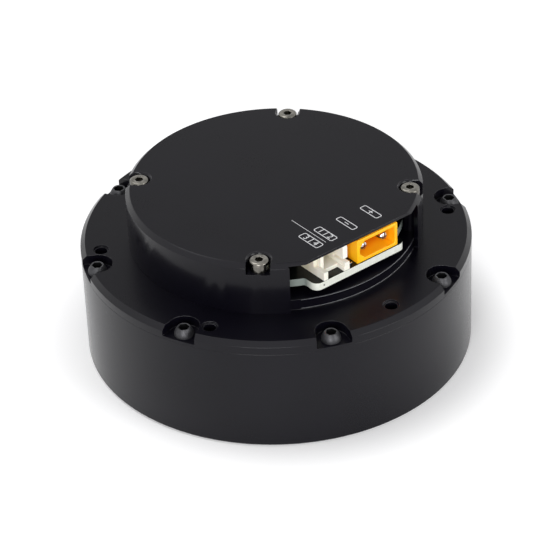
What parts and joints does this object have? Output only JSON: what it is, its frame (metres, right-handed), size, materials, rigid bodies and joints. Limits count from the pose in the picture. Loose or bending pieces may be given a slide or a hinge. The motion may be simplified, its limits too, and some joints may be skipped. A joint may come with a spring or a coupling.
{
  "type": "robot joint actuator",
  "caption": "Round robot joint actuator: motor with nested planetary stage, rotating output flange, rear cap with power and signal ports.",
  "frame": {"origin": "centre of the housing's output-side face, on the joint axis, where the actuator stands", "axes": "+Z along the joint axis from the output face towards the electronics cap; the connectors face -Y; +X completes the right-handed frame"},
  "size_m": [0.078, 0.078, 0.0354],
  "materials": {
    "black_aluminium": "black anodised, fine turned satin",
    "black_screw": "black oxide steel",
    "bright_screw": "bright nickel-plated steel",
    "gear_steel": "ground gear steel",
    "bearing_steel": "polished bearing steel",
    "lamination_steel": "stacked electrical steel",
    "back_iron": "turned mild steel",
    "copper_winding": "enamelled copper wire",
    "magnet_plating": "nickel-plated magnet",
    "bush_bronze": "sintered bronze",
    "bare_aluminium": "machined aluminium",
    "board_laminate": "dark solder mask over glass laminate",
    "chip_package": "moulded epoxy",
    "orange_nylon": "moulded orange nylon",
    "cream_nylon": "moulded natural nylon",
    "contact_plating": "tinned contact"
  },
  "bodies": {
    "housing": {"front_housing": "black_aluminium", "rear_plate": "black_aluminium", "electronics_cap": "black_aluminium", "rim_screws": "black_screw", "cap_screws": "bright_screw", "ring_gear": "gear_steel", "outer_race": "bearing_steel", "rear_bearing_outer": "bearing_steel", "stator_core": "lamination_steel", "stator_coils": "copper_winding", "phase_leads": "copper_winding", "control_board": "board_laminate", "board_chips": "chip_package", "encoder_chip": "chip_package", "board_screws": "bright_screw", "power_connector": "orange_nylon", "power_pins": "contact_plating", "signal_header": "cream_nylon", "signal_pins": "contact_plating"},
    "rotor": {"rotor_hub": "bare_aluminium", "rotor_ring": "back_iron", "rotor_magnets": "magnet_plating", "sun_gear": "gear_steel", "encoder_magnet": "magnet_plating", "front_bearing_inner": "bearing_steel", "rear_bearing_inner": "bearing_steel"},
    "output": {"output_flange": "black_aluminium", "carrier": "bare_aluminium", "carrier_plate": "bare_aluminium", "carrier_screws": "black_screw", "planet_pins": "bearing_steel", "planet_washers": "bush_bronze", "inner_race": "bearing_steel", "front_bearing_outer": "bearing_steel"},
    "rollers": {"crossed_rollers": "bearing_steel"},
    "planet_1": {"planet_gear_1": "gear_steel", "planet_bush_1": "bush_bronze"},
    "planet_2": {"planet_gear_2": "gear_steel", "planet_bush_2": "bush_bronze"},
    "planet_3": {"planet_gear_3": "gear_steel", "planet_bush_3": "bush_bronze"}
  },
  "joints": [
    {"name": "rotor_spin", "type": "hinge", "parent": "housing", "child": "rotor", "pos_m": [0, 0, 0.021], "axis": [0, 0, 1], "continuous": true},
    {"name": "output_spin", "type": "hinge", "parent": "housing", "child": "output", "pos_m": [0, 0, 0.0038], "axis": [0, 0, 1], "continuous": true},
    {"name": "roller_spin", "type": "hinge", "parent": "housing", "child": "rollers", "pos_m": [0, 0, 0.0038], "axis": [0, 0, 1], "continuous": true},
    {"name": "planet_spin_1", "type": "hinge", "parent": "output", "child": "planet_1", "pos_m": [0, 0.0108, 0.0108], "axis": [0, 0, 1], "continuous": true},
    {"name": "planet_spin_2", "type": "hinge", "parent": "output", "child": "planet_2", "pos_m": [-0.00935, -0.0054, 0.0108], "axis": [0, 0, 1], "continuous": true},
    {"name": "planet_spin_3", "type": "hinge", "parent": "output", "child": "planet_3", "pos_m": [0.00935, -0.0054, 0.0108], "axis": [0, 0, 1], "continuous": true}
  ],
  "couplings": [
    {"joint": "output_spin", "follows": "rotor_spin", "ratio": 0.16667},
    {"joint": "roller_spin", "follows": "rotor_spin", "ratio": 0.083333},
    {"joint": "planet_spin_1", "follows": "rotor_spin", "ratio": -0.41667},
    {"joint": "planet_spin_2", "follows": "rotor_spin", "ratio": -0.41667},
    {"joint": "planet_spin_3", "follows": "rotor_spin", "ratio": -0.41667}
  ]
}
